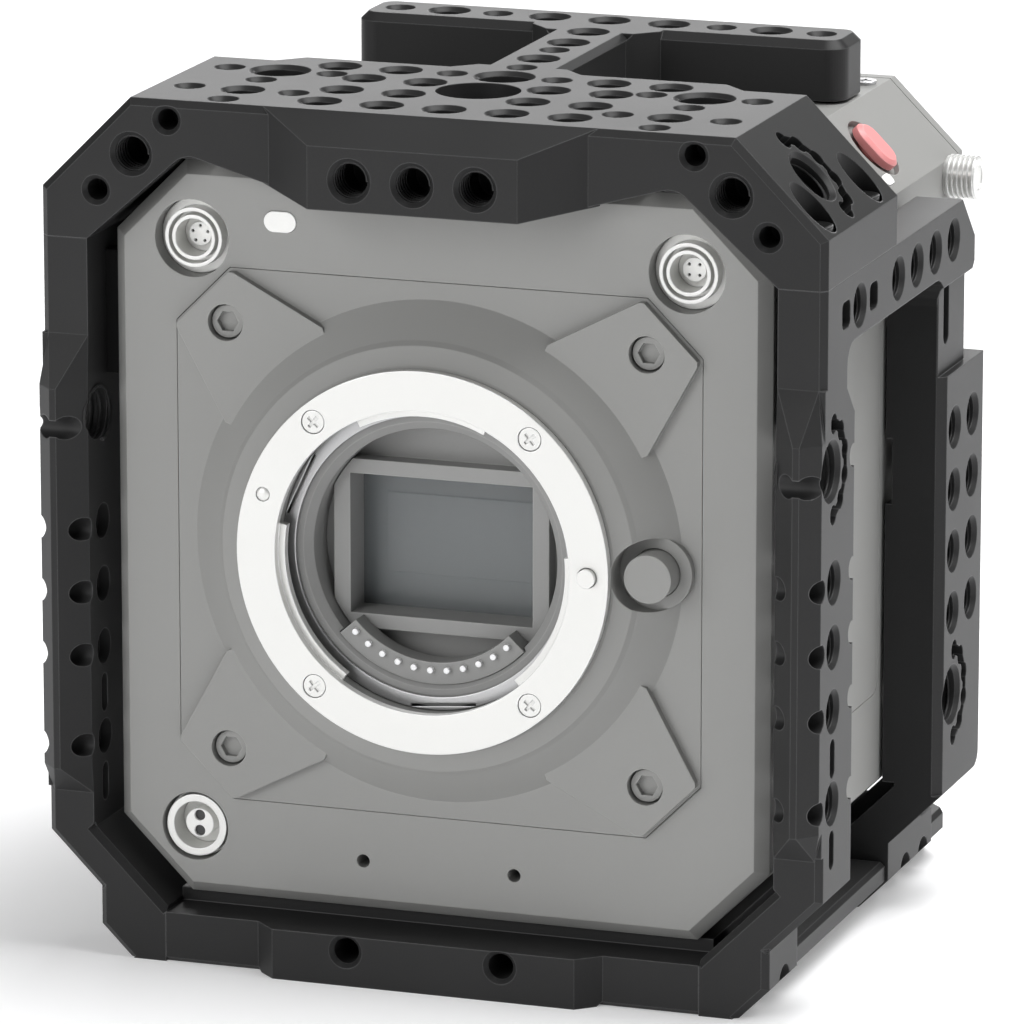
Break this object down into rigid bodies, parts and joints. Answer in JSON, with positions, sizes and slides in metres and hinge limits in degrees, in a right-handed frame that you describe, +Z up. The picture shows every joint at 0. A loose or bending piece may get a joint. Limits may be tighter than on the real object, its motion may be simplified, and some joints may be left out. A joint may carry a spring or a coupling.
{
  "type": "cinema camera rig",
  "caption": "Cube-shaped cinema camera body with a bayonet lens mount, held in a machined cage of top, side and base plates with rows of accessory threads.",
  "frame": {"origin": "bottom centre of the bounding box, on the plane the base plate rests on", "axes": "-Y out of the lens mount towards the subject, +X to the side with the record button, +Z up"},
  "size_m": [0.143, 0.1392, 0.155],
  "materials": {
    "anodised": "fine matt black anodised aluminium, edges worn a little lighter",
    "black_steel": "black oxide on steel",
    "grey_steel": "matt grey on steel",
    "grey_plastic": "matt",
    "silver_pins": "bright plated",
    "dark_pins": "dark plated",
    "steel": "satin",
    "body_paint": "fine matt grey",
    "plate_paint": "matt grey",
    "bright_metal": "bright satin plate",
    "black_plastic": "matt",
    "key_plastic": "matt",
    "gold": "plated",
    "brass": "satin",
    "board": "lacquered",
    "sink_aluminium": "satin",
    "white_plastic": "gloss",
    "red_plastic": "satin",
    "rubber": "matt",
    "coated_glass": "clear",
    "sensor_glass": "gloss"
  },
  "bodies": {
    "rig": {"cage_top_plate": "anodised", "cage_side_left": "anodised", "cage_side_right": "anodised", "cage_base_plate": "anodised", "cage_top_screws": "black_steel", "cage_base_screws": "black_steel", "camera_clamp_screws": "steel", "top_fixing_screw": "steel", "cage_pads": "rubber", "body_shell": "body_paint", "rear_cover": "body_paint", "rear_gasket": "rubber", "rear_cover_screws": "steel", "mount_plate": "plate_paint", "mount_plate_screws": "grey_steel", "flange_shim": "steel", "lens_mount_ring": "bright_metal", "mount_ring_screws": "bright_metal", "bayonet_spring": "steel", "release_boss": "plate_paint", "contact_block": "grey_plastic", "contact_pins": "silver_pins", "throat_ring": "grey_plastic", "sensor_baffle": "grey_plastic", "filter_glass": "coated_glass", "image_sensor": "sensor_glass", "sensor_board": "board", "heat_sink": "sink_aluminium", "fan_housing": "black_plastic", "main_board": "board", "processor_shield": "steel", "power_board": "board", "board_spacers": "brass", "connector_shells": "bright_metal", "connector_inserts": "white_plastic", "connector_pins": "dark_pins", "tally_lens": "white_plastic", "record_collar": "body_paint", "status_window": "white_plastic", "antenna_connector": "bright_metal", "side_cover": "body_paint", "control_panel": "black_plastic", "display_glass": "coated_glass", "media_slot": "steel", "media_door_pin": "steel", "video_connectors": "bright_metal", "power_connector": "bright_metal", "battery_plate": "black_plastic", "battery_contacts": "gold", "thread_inserts": "brass"},
    "release_button_body": {"release_button": "plate_paint"},
    "lock_pin_body": {"lock_pin": "bright_metal"},
    "record_button_body": {"record_button": "red_plastic"},
    "key_up_body": {"key_up": "key_plastic"},
    "key_down_body": {"key_down": "key_plastic"},
    "key_enter_body": {"key_enter": "key_plastic"},
    "key_back_body": {"key_back": "key_plastic"},
    "media_door_body": {"media_door": "body_paint"},
    "battery_release_body": {"battery_release": "red_plastic"},
    "fan_rotor_body": {"fan_rotor": "black_plastic"}
  },
  "joints": [
    {"name": "release_button_slide", "type": "slide", "parent": "rig", "child": "release_button_body", "axis": [0, 1, 0], "range_m": [0, 0.0015], "stiffness_N_per_m": 600, "springref_m": -0.001},
    {"name": "lock_pin_slide", "type": "slide", "parent": "rig", "child": "lock_pin_body", "axis": [0, 1, 0], "range_m": [0, 0.0015]},
    {"name": "record_button_slide", "type": "slide", "parent": "rig", "child": "record_button_body", "axis": [-0.7071, 0, -0.7071], "range_m": [0, 0.0008], "stiffness_N_per_m": 500, "springref_m": -0.001},
    {"name": "key_up_slide", "type": "slide", "parent": "rig", "child": "key_up_body", "axis": [1, 0, 0], "range_m": [0, 0.0006], "stiffness_N_per_m": 400, "springref_m": -0.001},
    {"name": "key_down_slide", "type": "slide", "parent": "rig", "child": "key_down_body", "axis": [1, 0, 0], "range_m": [0, 0.0006], "stiffness_N_per_m": 400, "springref_m": -0.001},
    {"name": "key_enter_slide", "type": "slide", "parent": "rig", "child": "key_enter_body", "axis": [1, 0, 0], "range_m": [0, 0.0006], "stiffness_N_per_m": 400, "springref_m": -0.001},
    {"name": "key_back_slide", "type": "slide", "parent": "rig", "child": "key_back_body", "axis": [1, 0, 0], "range_m": [0, 0.0006], "stiffness_N_per_m": 400, "springref_m": -0.001},
    {"name": "media_door_hinge", "type": "hinge", "parent": "rig", "child": "media_door_body", "pos_m": [-0.0587, -0.01905, 0.0275], "axis": [0, -1, 0], "range_deg": [0, 85]},
    {"name": "battery_release_slide", "type": "slide", "parent": "rig", "child": "battery_release_body", "axis": [-1, 0, 0], "range_m": [0, 0.002], "stiffness_N_per_m": 500, "springref_m": -0.001},
    {"name": "fan_spin", "type": "hinge", "parent": "rig", "child": "fan_rotor_body", "pos_m": [0, -0.0114, 0.0775], "axis": [0, 1, 0], "continuous": true}
  ],
  "couplings": [
    {"joint": "lock_pin_slide", "follows": "release_button_slide", "ratio": 1}
  ]
}
